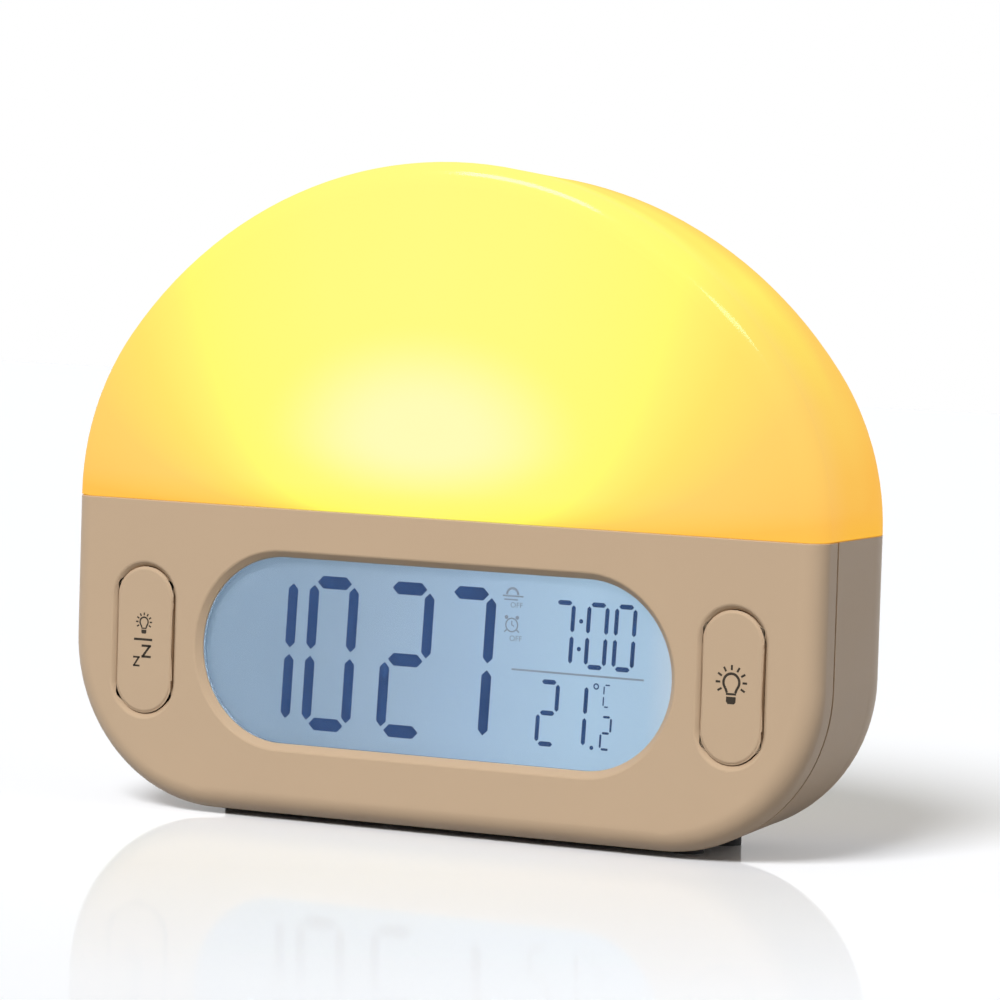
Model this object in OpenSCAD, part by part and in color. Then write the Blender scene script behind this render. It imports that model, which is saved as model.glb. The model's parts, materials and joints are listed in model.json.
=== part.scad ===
// Talking wake-up-light alarm clock with a glowing half-round dome over a base
// X is the width, Y runs from the front face to the rear, Z is up from the table.

/* [Case] */
// Overall width
body_w = 180; // [176:2:184]
// Overall depth, front face to rear face
body_d = 48; // [48:1:52]
// Height of the split between the base and the dome
split_z = 67.2; // [67.2:0.4:69.2]
// Radius of the dome's outline just above the split
side_r = 59; // [57:1:61]
// Radius of the base's lower corners
corner_r = 35.6; // [34:0.4:36]
// Rounding of the front edge
front_round = 5; // [4.5:0.5:6]
// Rounding of the rear edge
rear_round = 18; // [16:1:18]
// How far the skin draws in all round between the two roundings
draft = 2; // [1:0.25:2.25]
// Wall of the base mouldings
wall = 2.5; // [2.5:0.1:2.7]
// Wall of the translucent dome
dome_wall = 2.4; // [2.2:0.1:2.6]
// From the front face to the parting line of the two base mouldings
part_depth = 9.5; // [9:0.5:10]
// Height of the feet under the base
foot_h = 1.2; // [1:0.1:1.6]

/* [Display] */
// Half width of the window at the front face
window_x = 58; // [56:0.2:58.2]
// Half height of the window at the front face
window_z = 21.4; // [20:0.2:21.4]
// Height of the window's middle
window_mid = 36.6; // [36:0.2:37]
// Width and depth of the window's bevel
bevel = 1.45; // [1:0.05:1.6]
// Thickness of the liquid crystal panel
lcd_t = 2.6; // [2.2:0.1:2.8]

/* [Buttons and keys] */
// From the clock's middle to the middle of each front button
button_x = 70.9; // [70.6:0.1:71.2]
// Height of the middle of each front button
button_mid = 36.6; // [36.4:0.1:36.8]
// Half width of a front button's opening at its bevel
button_half_w = 8.2; // [7.8:0.1:8.2]
// Half height of a front button's opening at its bevel
button_half_h = 17; // [16.4:0.1:17]
// Travel of a front button
button_travel = 0.6; // [0.3:0.1:0.7]
// Half width of a rear key
key_half_w = 4.5; // [4:0.1:4.5]
// Half height of a rear key
key_half_h = 2.75; // [2.5:0.05:2.75]

/* [Battery bay] */
// Length of the bay, for one cell and its contacts
bay_w = 52; // [50:0.5:52]
// Height of the bay, for three cells
bay_h = 33; // [32:0.5:33]
// Depth of the bay from the rear face
bay_d = 13; // [12:0.5:13]
// Thickness of the battery door
door_t = 1.8; // [1.5:0.1:1.9]

/* [Speaker] */
// Radius of the speaker's flange
speaker_r = 18; // [17:0.5:18]
// Rings of holes round the middle hole of the grille
grille_rings = 4; // [2:1:4]

/* [Hidden] */
$fn = 96;
half_w = body_w/2;
front_y = -body_d/2;
rear_y = body_d/2;
// Where the front rounding ends and the rear one starts
side_front = front_y + front_round;
side_rear = rear_y - rear_round;
// The dome's two radii meet along a line that rises 3 for every 4 across
arc_x = half_w - side_r;
crown_z = split_z - 3*arc_x/4;
crown_r = side_r + 5*arc_x/4;
reach = 160;
corner_x = half_w - corner_r;
corner_z = foot_h + corner_r;
foot_r = 3.5;
foot_set = 1.6;
part_y = front_y + part_depth;
seam = 0.2;
lap_t = 1.2;
part_draft = draft*(part_y - side_front)/(side_rear - side_front);
slip = 0.05;
deck_z = split_z - 5.6;
deck_t = 1.6;
lip_z = deck_z + deck_t + 2*slip;
inner_y = front_y + wall;
rear_wall_y = rear_y - wall;

// Stack behind the window, each from its front face
lens_y = front_y + bevel;
lens_back = inner_y + 0.8;
lcd_y = lens_back + 0.1;
guide_y = lcd_y + lcd_t + 0.1;
guide_t = 2.9;
board_y = front_y + 10.2;
board_t = 1.6;
board_back = board_y + board_t;
panel_x = 59;
panel_z = 22.5;
holder_x = 62.4;
holder_z = 24;

// Fasteners of the holder and the boards, from the clock's middle
holder_screw = [40, 8.6];
board_screw_x = 60.8;
board_screw_z = [20, 53];
key_screw_z = [51, 41];
small_screw_r = 0.8;
small_head_r = 1.6;
small_boss_r = 2.4;

// Snap hooks of the dome
hook_x = 67;
hook_w = 3.8;
hook_t = 1.2;
hook_z = deck_z - 3;

// Lamp board on the deck
lamp_x = 47;
lamp_y = 12;
lamp_t = 1.2;
lamp_top = deck_z + deck_t + lamp_t;
lamp_screw = [44, 9.5];
chip_w = 5;
chip_h = 1.6;
chip_step = 15;
lead_hole_x = 40;

// Front buttons and their switches
button_gap = 0.25;
button_bevel = 1;
switch_h = 3.5;
switch_w = 12;
plunger_r = 1.75;
plunger_y = board_y - switch_h - button_travel - 0.2;

// Rear keys: names from top left, places from the middle of the key field
key_mid_x = 6;
key_step_x = 7.5;
key_rows = [56, 46, 36];
key_board_y = 14;
key_board_t = 1.2;
key_switch_w = 6;
key_plunger_r = 1.5;
key_recess = 1;
key_tip = key_board_y + key_board_t + switch_h + 0.7;
usb_z = 26.5;
usb_back = key_board_y + key_board_t;
ribbon_z = 21.5;

// Battery bay
bay_x = -39;
bay_z = 41.5;
bay_wall = 1.5;
bay_floor = rear_y - bay_d;
door_w = bay_w + 5;
door_h = bay_h + 4;
cell_step = 10.9;
cell_y = bay_floor + 5.6;
tab_x = 16;
tab_w = 8;
latch_w = 6;
coil_turns = 3.5;
coil_steps = 12*coil_turns;
coil_h = 5;

// Speaker and vents
speaker_x = 43;
speaker_z = 41;
flange_y = rear_wall_y - 0.6;
magnet_r = 10;
coil_r = 5.2;
vent_x = 66;
vent_z = 42;

// Case screws, from the clock's middle
upper_post = [76, 57];
lower_post = [67, 13];
post_r = 4.2;
boss_r = 3.2;
screw_r = 1.3;
head_r = 2.6;
seat_y = -6;

// Leads: places of their sockets on the main board and the points they run through
sockets = [[50, 34], [50, 24], [-50, 24]];
socket_y = board_back + 5;
lead_r = 0.5;
speaker_route = [[50, socket_y, 34], [50, -4.5, 34], [51, -1, 35.5], [53.5, 3.5, 39.5],
    [54.4, 6.5, 41], [54.4, 9, 41], [54.4, 11.5, 41]];
led_route = [[50, socket_y, 24], [50, -4.5, 24], [49.5, -1.5, 27], [48, 0, 37], [43.5, 0, 50],
    [lead_hole_x, 0, 57], [lead_hole_x, 0, 60], [lead_hole_x, 0, deck_z + deck_t]];
battery_route = [[-50, socket_y, 24], [-50, -4.5, 24], [-49, 0, 25.5], [-47, 4, 28], [-47, 6.5, 28],
    [-47, bay_floor - bay_wall, 28]];

tan_plastic = [0.77, 0.667, 0.553];
dome_plastic = [1, 0.86, 0.42];
white_plastic = [0.93, 0.93, 0.9];
board_green = [0.1, 0.35, 0.2];
steel = [0.72, 0.73, 0.75];

// What a rounding of radius r leaves off past the point x, y, with the skin t inside it
module corner_cut(x, y, r, t) {
    difference() {
        translate([x, y]) square(2*r);
        translate([x, y]) circle(r - t);
    }
}
// Depth profile of the case at radius r, t inside the outer skin, with the front towards +y
module depth_profile(r, t) {
    difference() {
        polygon([[0, rear_y - t], [r - t, rear_y - t], [r - t, -side_front], [r - draft - t, -side_rear],
            [r - draft - t, t - rear_y], [0, t - rear_y]]);
        corner_cut(r - front_round, -side_front, front_round, t);
        mirror([0, 1]) corner_cut(r - draft - rear_round, side_rear, rear_round, t);
    }
}
module wheel(r, t, sweep = 360) rotate([90, 0, 0]) rotate_extrude(angle = sweep) depth_profile(r, t);
module prism(points) translate([0, body_d, 0]) rotate([90, 0, 0]) linear_extrude(2*body_d) polygon(points);

// The dome's solid: one large arc over two smaller ones, each spun from the depth profile
module dome_solid(t) {
    top = split_z + 3*reach/5;
    intersection() {
        translate([0, 0, crown_z]) wheel(crown_r, t);
        prism([[-arc_x, split_z], [arc_x, split_z], [arc_x + 4*reach/5, top], [-arc_x - 4*reach/5, top]]);
    }
    for (s = [-1, 1]) intersection() {
        translate([s*arc_x, 0, split_z]) wheel(side_r, t);
        prism([[s*arc_x, split_z], [s*(arc_x + reach), split_z], [s*(arc_x + reach), top],
            [s*(arc_x + 4*reach/5), top]]);
    }
}

// The base's solid: straight sides and bottom with two spun corners
module base_solid(t, top) {
    for (s = [0, 1]) mirror([s, 0, 0]) translate([corner_x, 0, corner_z]) {
        rotate([0, 90, 0]) wheel(corner_r, t, 90);
        linear_extrude(top - corner_z) mirror([0, 1]) depth_profile(corner_r, t);
    }
    translate([-corner_x, 0, corner_z]) {
        rotate([0, 90, 0]) linear_extrude(2*corner_x) mirror([0, 1]) depth_profile(corner_r, t);
        translate([0, t + front_y, 0]) cube([2*corner_x, body_d - 2*t, top - corner_z]);
    }
}

// Front outline of the base, t inside the skin, and its horizontal plan
module base_outline(t) {
    difference() {
        translate([t - half_w, foot_h + t]) square([body_w - 2*t, 2*corner_r]);
        for (s = [0, 1]) mirror([s, 0]) translate([corner_x, corner_z]) mirror([0, 1])
            corner_cut(0, 0, corner_r, t);
    }
}
module plan(t) {
    x1 = half_w - t;
    x2 = x1 - draft;
    difference() {
        polygon([[-x1, t + front_y], [x1, t + front_y], [x1, side_front], [x2, side_rear], [x2, rear_y - t],
            [-x2, rear_y - t], [-x2, side_rear], [-x1, side_front]]);
        for (s = [0, 1]) mirror([s, 0]) {
            mirror([0, 1]) corner_cut(half_w - front_round, -side_front, front_round, t);
            corner_cut(half_w - draft - rear_round, side_rear, rear_round, t);
        }
    }
}
module slab(from, to) translate([-half_w - 1, from, -1]) cube([body_w + 2, to - from, split_z + 1 - seam]);

// A rounded bar between y = from and y = to whose half height goes from h0 to h1
module bar(half_x, from, to, h0, h1) {
    flat = half_x - h0;
    for (s = [-1, 1]) translate([s*flat, from, 0]) rotate([-90, 0, 0])
        cylinder(h = to - from, r1 = h0, r2 = h1);
    translate([-flat, 0, 0]) rotate([90, 0, 90]) linear_extrude(2*flat)
        polygon([[from, -h0], [from, h0], [to, h1], [to, -h1]]);
}
module upright_bar(half_x, from, to, h0, h1) rotate([0, 90, 0]) bar(half_x, from, to, h0, h1);
module rod(x, z, from, to, r) translate([x, from, z]) rotate([-90, 0, 0]) cylinder(h = to - from, r = r);
module block(x, z, w, h, from, to) translate([x - w/2, from, z - h/2]) cube([w, to - from, h]);
module mirrored() {
    children();
    mirror([1, 0, 0]) children();
}
module at_posts() for (p = [upper_post, lower_post], s = [-1, 1]) translate([s*p[0], 0, p[1]]) children();

// Snap hooks of the dome: each grips a pocket in the base's wall
module at_hooks() for (s = [-1, 1], m = [0, 1]) mirror([0, m, 0]) translate([s*hook_x, 0, 0]) children();

module at_holder() mirrored() translate([holder_screw[0], 0, holder_screw[1]]) children();
module at_board_screws() for (s = [-1, 1], z = board_screw_z) translate([s*board_screw_x, 0, z]) children();
module at_lamp_screws() for (sx = [-1, 1], sy = [-1, 1])
    translate([sx*lamp_screw[0], sy*lamp_screw[1], 0]) children();
module at_key_screws() for (z = key_screw_z) translate([key_mid_x, 0, z]) children();
module hook_pockets() at_hooks() block(0, deck_z - 2, hook_w + 0.6, 2.8, inner_y - 0.9, inner_y + 0.2);

module front_housing() color(tan_plastic) {
    difference() {
        union() {
            intersection() {
                difference() {
                    base_solid(0, split_z - seam);
                    base_solid(wall, split_z + 1);
                }
                slab(front_y - 1, part_y);
            }
            translate([0, part_y + 2, 0]) rotate([90, 0, 0]) linear_extrude(3) intersection() {
                difference() {
                    base_outline(part_draft + lap_t + slip);
                    base_outline(part_draft + wall);
                }
                translate([-half_w, 0]) square([body_w, deck_z - 0.1]);
            }
            at_posts() rod(0, 0, inner_y - 0.5, part_y, boss_r);
            at_holder() rod(0, 0, inner_y - 0.5, front_y + 8, small_boss_r);
        }
        // Recessed window and its bevel
        translate([0, 0, window_mid]) {
            bar(window_x, front_y, lens_y, window_z, window_z - bevel);
            bar(window_x - bevel, lens_y - 0.5, inner_y + 1, window_z - bevel, window_z - bevel);
        }
        // Button openings and their small bevels
        mirrored() translate([button_x, 0, button_mid]) {
            upright_bar(button_half_h, front_y, front_y + button_bevel,
                button_half_w, button_half_w - button_bevel);
            upright_bar(button_half_h - button_bevel, front_y, inner_y + 1,
                button_half_w - button_bevel, button_half_w - button_bevel);
        }
        // Shadow groove along the parting line
        translate([0, part_y + 0.1, 0]) rotate([90, 0, 0]) linear_extrude(0.6) difference() {
            base_outline(-2);
            base_outline(part_draft + 0.4);
        }
        // Step for the deck and the dome's lip
        translate([0, 0, deck_z]) linear_extrude(body_d) plan(lap_t);
        hook_pockets();
        at_posts() rod(0, 0, front_y + 5, part_y + 1, screw_r);
        at_holder() rod(0, 0, front_y + 3.5, front_y + 9, small_screw_r);
    }
}

module rear_housing() color(tan_plastic) {
    difference() {
        union() {
            intersection() {
                difference() {
                    base_solid(0, split_z - seam);
                    base_solid(wall, split_z + 1);
                }
                slab(part_y, rear_y + 1);
            }
            intersection() {
                at_posts() rod(0, 0, part_y + 0.1, rear_y, post_r);
                base_solid(1, deck_z - 0.3);
            }
            block(bay_x, bay_z, bay_w + 2*bay_wall, bay_h + 2*bay_wall, bay_floor - bay_wall, rear_y - 1);
            at_key_screws() rod(0, 0, key_board_y + key_board_t, rear_y - 1.5, 2);
            difference() {
                rod(speaker_x, speaker_z, rear_wall_y - 3, rear_y - 1, speaker_r + 1.4);
                rod(speaker_x, speaker_z, rear_wall_y - 4, rear_wall_y, speaker_r + 0.2);
            }
            block(vent_x, vent_z, 5, 5, rear_wall_y - 3.5, rear_y - 1);
        }
        // Lap that the front moulding's rim fits inside
        translate([0, part_y + 2.1, 0]) rotate([90, 0, 0]) linear_extrude(3) difference() {
            base_outline(part_draft + lap_t);
            base_outline(part_draft + wall + 1);
        }
        translate([0, 0, deck_z]) linear_extrude(body_d) plan(lap_t);
        hook_pockets();
        // Screw seats and clearance holes
        at_posts() {
            rod(0, 0, seat_y, rear_y + 1, head_r + 0.3);
            rod(0, 0, part_y - 1, seat_y + 1, screw_r + 0.15);
        }
        // Battery bay, door seat, slots for the door's tabs and the finger notch
        block(bay_x, bay_z, bay_w, bay_h, bay_floor, rear_y + 1);
        block(bay_x, bay_z, door_w + 0.4, door_h + 0.4, rear_y - door_t, rear_y + 1);
        for (s = [-1, 1]) block(bay_x + tab_x*s, bay_z - bay_h/2 - 1.5, tab_w + 0.6, 5,
            rear_y - 5.2, rear_y - door_t + 0.1);
        block(bay_x, bay_z + (door_h + bay_h)/4 + 0.35, latch_w + 1, (door_h - bay_h)/2 + 1.7,
            rear_y - 3.4, rear_y + 1);
        // Key field and key openings
        key_field();
        at_keys() bar(key_half_w + 0.2, rear_wall_y - 1, rear_y, key_half_h + 0.2, key_half_h + 0.2);
        at_key_screws() rod(0, 0, key_board_y, rear_wall_y - 1.5, small_screw_r);
        // Charging inlet
        translate([key_mid_x, 0, usb_z]) {
            bar(4.8, rear_wall_y - 1, rear_y + 1, 1.95, 1.95);
            bar(6, rear_y - 0.6, rear_y + 1, 2.8, 3.4);
        }
        // Speaker grille in rings of six, twelve, eighteen and so on
        for (ring = [0:grille_rings], i = [0:max(6*ring, 1) - 1]) {
            a = 60*i/max(ring, 1);
            rod(speaker_x + 3.4*ring*cos(a), speaker_z + 3.4*ring*sin(a), rear_wall_y - 1, rear_y + 1, 0.9);
        }
        // Vents over the temperature sensor
        rod(vent_x, vent_z, rear_wall_y - 4, rear_y - 1.6, 1.6);
        for (dz = [-4.5:3:4.5]) translate([vent_x, 0, vent_z + dz])
            bar(2.6, rear_wall_y - 1, rear_y + 1, 0.6, 0.6);
        foot_strips(slip);
    }
}

module at_keys() for (z = key_rows, s = [-1, 1]) translate([key_mid_x + s*key_step_x, 0, z]) children();
module key_field() {
    mid_z = (key_rows[0] + key_rows[2])/2;
    for (sx = [-1, 1], sz = [-1, 1])
        rod(key_mid_x + 11*sx, mid_z + 11.5*sz, rear_y - key_recess, rear_y + 1, 3.5);
    block(key_mid_x, mid_z, 29, 23, rear_y - key_recess, rear_y + 1);
    block(key_mid_x, mid_z, 22, 30, rear_y - key_recess, rear_y + 1);
}

module diffuser_dome() color(dome_plastic) {
    difference() {
        union() {
            dome_solid(0);
            translate([0, 0, lip_z]) linear_extrude(split_z - lip_z) plan(lap_t + slip);
        }
        dome_solid(dome_wall);
        translate([0, 0, lip_z - 1]) linear_extrude(split_z - lip_z + 1) plan(dome_wall);
    }
    at_hooks() {
        translate([-hook_w/2, inner_y + slip, hook_z]) cube([hook_w, hook_t, split_z - hook_z]);
        translate([-hook_w/2, inner_y - hook_t/2, hook_z]) cube([hook_w, 1, 1.6]);
        translate([-hook_w/2, inner_y - 1, lip_z]) cube([hook_w, 1.6, split_z - lip_z]);
    }
}

module reflector_deck() color(white_plastic) difference() {
    translate([0, 0, deck_z]) linear_extrude(deck_t) plan(lap_t + slip);
    at_hooks() translate([-hook_w/2 - 0.2, front_y, deck_z - 1]) cube([hook_w + 0.4, 4, deck_t + 2]);
    at_lamp_screws() translate([0, 0, deck_z - 1]) cylinder(h = 5, r = 1.05);
    translate([lead_hole_x, 0, deck_z - 1]) cylinder(h = 5, r = 1.9);
}

module led_board() color([0.95, 0.95, 0.95]) difference() {
    translate([-lamp_x, -lamp_y, deck_z + deck_t]) cube([2*lamp_x, 2*lamp_y, lamp_t]);
    at_lamp_screws() translate([0, 0, deck_z]) cylinder(h = 5, r = 1.05);
}
module led_chips() color([1, 0.95, 0.6]) for (i = [-2.5:2.5], s = [-1, 1])
    translate([chip_step*i + 2*s, 6*s, lamp_top + chip_h/2]) cube([chip_w, chip_w, chip_h], center = true);
module led_screws() color(steel) at_lamp_screws() {
    translate([0, 0, lamp_top]) cylinder(h = 1, r = 1.9);
    translate([0, 0, deck_z - 0.6]) cylinder(h = lamp_top - deck_z + 0.7, r = 1);
}

module window_lens() color([0.8, 0.88, 0.95, 0.4]) translate([0, 0, window_mid]) {
    bar(window_x - bevel - slip, lens_y, inner_y, window_z - bevel - slip, window_z - bevel - slip);
    bar(panel_x, inner_y, lens_back, panel_z, panel_z);
}
module lcd_panel() color([0.62, 0.72, 0.8])
    block(0, window_mid, 2*panel_x, 2*panel_z, lcd_y, lcd_y + lcd_t);
module light_guide() color([0.85, 0.93, 1])
    block(0, window_mid, 2*panel_x - 4, 38, guide_y, guide_y + guide_t);
module backlight_leds() color([0.7, 0.85, 1])
    for (s = [-1, 1], z = [-10, 10]) block(s*58.1, window_mid + z, 1.6, 4, guide_y, guide_y + 2.8);
module lcd_holder() color(white_plastic) difference() {
    union() {
        block(0, window_mid, 2*holder_x, 2*holder_z, lcd_y, board_y - 0.1);
        at_holder() rod(0, 0, front_y + 8, board_y - 0.1, small_boss_r);
        at_holder() block(0, small_boss_r, 2*small_boss_r, 4, front_y + 8, board_y - 0.1);
    }
    block(0, window_mid, 2*panel_x + 0.2, 2*panel_z + 0.2, lcd_y - 1, board_y - 1.1);
    for (s = [-1, 1]) block(0, window_mid + 21*s, 100.4, 2.2, board_y - 2, board_y);
    at_board_screws() rod(0, 0, board_y - 4, board_y, small_screw_r);
    at_holder() rod(0, 0, front_y + 7, board_y, small_screw_r + 0.2);
}
module zebra_strips() color([0.9, 0.6, 0.7])
    for (s = [-1, 1]) block(0, window_mid + 21*s, 100, 1.8, lcd_y + lcd_t, board_y);

module main_board() color(board_green) difference() {
    block(0, 36, 156, 37, board_y, board_back);
    mirrored() block(75, 52, 8, 6.4, board_y - 1, board_back + 1);
    mirrored() translate([54, board_back + 1, 41.5]) rotate([90, 0, 0]) linear_extrude(board_t + 2)
        mirror([0, 1]) corner_cut(0, 0, 24, 0);
    at_board_screws() rod(0, 0, board_y - 1, board_back + 1, small_screw_r + slip);
}
module board_chips() color([0.12, 0.12, 0.13]) {
    block(-20, 38, 14, 14, board_back, board_back + 1.6);
    block(4, 40, 8, 6, board_back, board_back + 1.6);
    block(4, 28, 5, 6, board_back, board_back + 1.4);
    block(24, 45, 6.5, 10, board_back, board_back + 1.8);
    block(-42, 46, 3, 1.5, board_back, board_back + 1);
    block(-42, 42, 3, 1.5, board_back, board_back + 1);
    block(-42, 38, 3, 1.5, board_back, board_back + 1);
}
module capacitors() color([0.2, 0.22, 0.35]) for (p = [[38, 48, 3.1], [46, 48, 3.1], [-52, 48, 2.5]])
    rod(p[0], p[1], board_back, board_back + 6.5, p[2]);
module clock_crystal() color(steel) rod(-32, 28, board_back, board_back + 6, 1.5);
module board_sockets() color([0.92, 0.9, 0.82]) {
    for (p = sockets) block(p[0], p[1], 7.5, 6, board_back, socket_y);
    block(key_mid_x, ribbon_z, 14, 4.6, board_back, board_back + 3);
    block(key_mid_x, ribbon_z, 14, 4, key_board_y - 2.5, key_board_y);
}

// Tactile switches and the round plungers that slide in them
module switch_body(w, from, to, bore, floor_t) {
    difference() {
        block(0, 0, w, w, from, to);
        rod(0, 0, from - 1, to - floor_t, bore + slip);
    }
}
module front_switches() color([0.15, 0.15, 0.16]) mirrored() translate([button_x, 0, button_mid])
    switch_body(switch_w, board_y - switch_h, board_y, plunger_r, 0.9);
module plunger() color([0.85, 0.3, 0.2])
    rod(0, 0, plunger_y, board_y - 1.7, plunger_r);
module front_button() {
    r = button_half_w - button_bevel - button_gap;
    h = button_half_h - button_bevel - button_gap;
    upright_bar(h - 0.4, front_y + 0.15, front_y + 0.55, r - 0.4, r);
    for (s = [-1, 1]) translate([0, 0, s*(h - r)]) rod(0, 0, front_y + 0.5, inner_y + 0.6, r);
    block(0, 0, 2*r, 2*(h - r), front_y + 0.55, inner_y + 0.6);
    upright_bar(h + 1, inner_y + 0.1, inner_y + 1.1, r + 1, r + 1);
    rod(0, 0, inner_y + 1, plunger_y, 2.2);
}
module on_left() translate([-button_x, 0, button_mid]) children();
module on_right() translate([button_x, 0, button_mid]) children();
module snooze_button() color(tan_plastic) on_left() front_button();
module snooze_plunger() on_left() plunger();
module light_button() color(tan_plastic) on_right() front_button();
module light_plunger() on_right() plunger();

module key_board() color(board_green) difference() {
    block(key_mid_x, 40, 32, 41, key_board_y, key_board_y + key_board_t);
    at_key_screws() rod(0, 0, key_board_y - 1, key_board_y + 2, small_screw_r + slip);
}
module key_switches() color([0.15, 0.15, 0.16]) at_keys() mirror([0, 1, 0])
    switch_body(key_switch_w, -key_board_y - key_board_t - switch_h, -key_board_y - key_board_t,
        key_plunger_r, 0.8);
module at_key(row, side) translate([key_mid_x + side*key_step_x, 0, key_rows[row]]) children();
module key_cap(row, side) color(tan_plastic) at_key(row, side) {
    bar(key_half_w, rear_wall_y - 0.5, rear_y - 0.5, key_half_h, key_half_h);
    bar(key_half_w, rear_y - 0.5, rear_y - 0.2, key_half_h, key_half_h - 0.3);
    bar(key_half_w + 0.5, rear_wall_y - 1.3, rear_wall_y - 0.1, key_half_h + 0.6, key_half_h + 0.6);
    rod(0, 0, key_tip, rear_wall_y - 1.2, key_plunger_r);
}
module key_plunger(row, side) color([0.9, 0.9, 0.88]) at_key(row, side)
    rod(0, 0, key_tip - 2.4, key_tip, key_plunger_r);
module talk_key() key_cap(0, -1);
module alarm_key() key_cap(0, 1);
module set_key() key_cap(1, -1);
module volume_key() key_cap(1, 1);
module up_key() key_cap(2, -1);
module down_key() key_cap(2, 1);
module talk_plunger() key_plunger(0, -1);
module alarm_plunger() key_plunger(0, 1);
module set_plunger() key_plunger(1, -1);
module volume_plunger() key_plunger(1, 1);
module up_plunger() key_plunger(2, -1);
module down_plunger() key_plunger(2, 1);

module usb_shell() color(steel) translate([key_mid_x, 0, usb_z]) difference() {
    bar(4.47, usb_back, rear_y - 0.9, 1.63, 1.63);
    bar(4.17, usb_back + 0.8, rear_y, 1.33, 1.33);
}
module usb_tongue() color([0.1, 0.1, 0.1]) block(key_mid_x, usb_z, 6.7, 0.7, usb_back + 0.8, rear_y - 1.6);

// Door: its lower tabs sit behind the wall and it tips out about its rounded lower edge
module battery_door() color(tan_plastic) {
    edge = door_t/2;
    translate([bay_x - door_w/2, rear_y - edge, bay_z - door_h/2 + edge]) rotate([0, 90, 0])
        cylinder(h = door_w, r = edge);
    difference() {
        block(bay_x, bay_z + edge/2, door_w, door_h - edge, rear_y - door_t, rear_y);
        for (i = [0:4]) block(bay_x, bay_z + 9 + 1.6*i, 14, 0.7, rear_y - 0.5, rear_y + 1);
    }
    for (s = [-1, 1]) {
        block(bay_x + tab_x*s, bay_z - door_h/2 + 0.6, tab_w, 3.2,
            rear_y - door_t - 0.9, rear_y - door_t + 0.1);
        block(bay_x + tab_x*s, bay_z - door_h/2 - 1.1, tab_w, 1.4, rear_y - 3.9, rear_y - door_t - 0.8);
    }
    block(bay_x, bay_z + door_h/2 - 1, latch_w, 3.6, rear_y - door_t - 1.2, rear_y - door_t);
}
module battery_contacts() color(steel) for (row = [-1:1], s = [-1, 1])
    translate([bay_x + s*(bay_w/2 - 0.2), cell_y, bay_z + row*cell_step]) {
        cube([0.4, 9, 9], center = true);
        if (s*(row == 0 ? -1 : 1) > 0) rotate([0, -90*s, 0]) cylinder(h = 1.2, r = 2.5);
    }

// A closed tube swept along points, with its rings square to the path
function unit(v) = v/norm(v);
function tangent(p, i) = unit(p[min(i + 1, len(p) - 1)] - p[max(i - 1, 0)]);
function ring(p, i, r, n, up) = let (t = tangent(p, i), u = unit(cross(up, t)), v = cross(t, u))
    [for (k = [0:n - 1]) p[i] + r*(u*cos(360*k/n) + v*sin(360*k/n))];
module tube(p, r, n, up) {
    rings = len(p);
    polyhedron(
        points = [for (i = [0:rings - 1]) each ring(p, i, r, n, up)],
        faces = concat(
            [[for (k = [0:n - 1]) n - 1 - k]],
            [for (i = [0:rings - 2], k = [0:n - 1]) each let (a = i*n, b = a + n, j = (k + 1)%n)
                [[a + k, a + j, b + j], [a + k, b + j, b + k]]],
            [[for (k = [0:n - 1]) (rings - 1)*n + k]]));
}
module coil() tube([for (i = [0:coil_steps]) let (f = i/coil_steps, a = 360*coil_turns*f, r = 4 - 1.4*f)
    [r*cos(a), r*sin(a), 0.3 + coil_h*f]], 0.3, 6, [0, 0, 1]);
module battery_springs() color(steel) for (row = [-1:1]) {
    s = row == 0 ? 1 : -1;
    translate([bay_x + s*(bay_w/2 - 0.4), cell_y, bay_z + row*cell_step]) rotate([0, -90*s, 0]) coil();
}

// Speaker, facing the grille
module on_speaker() translate([speaker_x, 0, speaker_z]) rotate([-90, 0, 0]) children();
module speaker_gasket() color([0.2, 0.2, 0.2]) on_speaker() translate([0, 0, flange_y]) difference() {
    cylinder(h = 0.6, r = speaker_r);
    translate([0, 0, -1]) cylinder(h = 3, r = speaker_r - 2.5);
}
module speaker_frame() color([0.3, 0.3, 0.32]) on_speaker() difference() {
    rotate_extrude() polygon([[speaker_r, flange_y], [speaker_r, flange_y - 1], [16.2, flange_y - 1],
        [12, 12.5], [12, 11.5], [10.1, 11.5], [10.1, 12.5], [11, 12.9], [15.4, flange_y - 1.1],
        [15.4, flange_y - 0.5], [17, flange_y - 0.5], [17, flange_y]]);
    for (a = [45:90:315]) rotate([0, 0, a]) translate([13, -4, 13.5]) cube([6, 8, 5]);
}
module speaker_magnet() color(steel) on_speaker() rotate_extrude()
    polygon([[0, 6], [magnet_r, 6], [magnet_r, 12.4], [coil_r + 0.5, 12.4], [coil_r + 0.5, 8],
        [coil_r - 0.9, 8], [coil_r - 0.9, 12.4], [0, 12.4]]);
module speaker_cone() color([0.14, 0.14, 0.15]) on_speaker() {
    rotate_extrude()
        polygon([[4.8, 14.9], [5.3, 14.9], [13.4, 19.9], [13.4, 20.4], [5.1, 15.4], [4.8, 15.4]]);
    rotate_extrude() polygon([[0, 18], [2, 17.8], [4, 17], [5.8, 15.9], [5.4, 15.4], [3.8, 16.5],
        [2, 17.3], [0, 17.5]]);
}
module speaker_coil() color([0.75, 0.45, 0.2]) on_speaker() translate([0, 0, 9]) difference() {
    cylinder(h = 5.9, r = coil_r);
    translate([0, 0, -1]) cylinder(h = 8, r = coil_r - 0.4);
}
module speaker_surround() color([0.1, 0.1, 0.1]) on_speaker() rotate_extrude() polygon([[13.4, 20],
    [13.8, 20.5], [15, 20.5], [15.4, 20.4], [17, 20.4], [17, 20.9], [15.3, 20.9], [14.9, 21],
    [13.9, 21], [13.4, 20.4]]);
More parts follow.
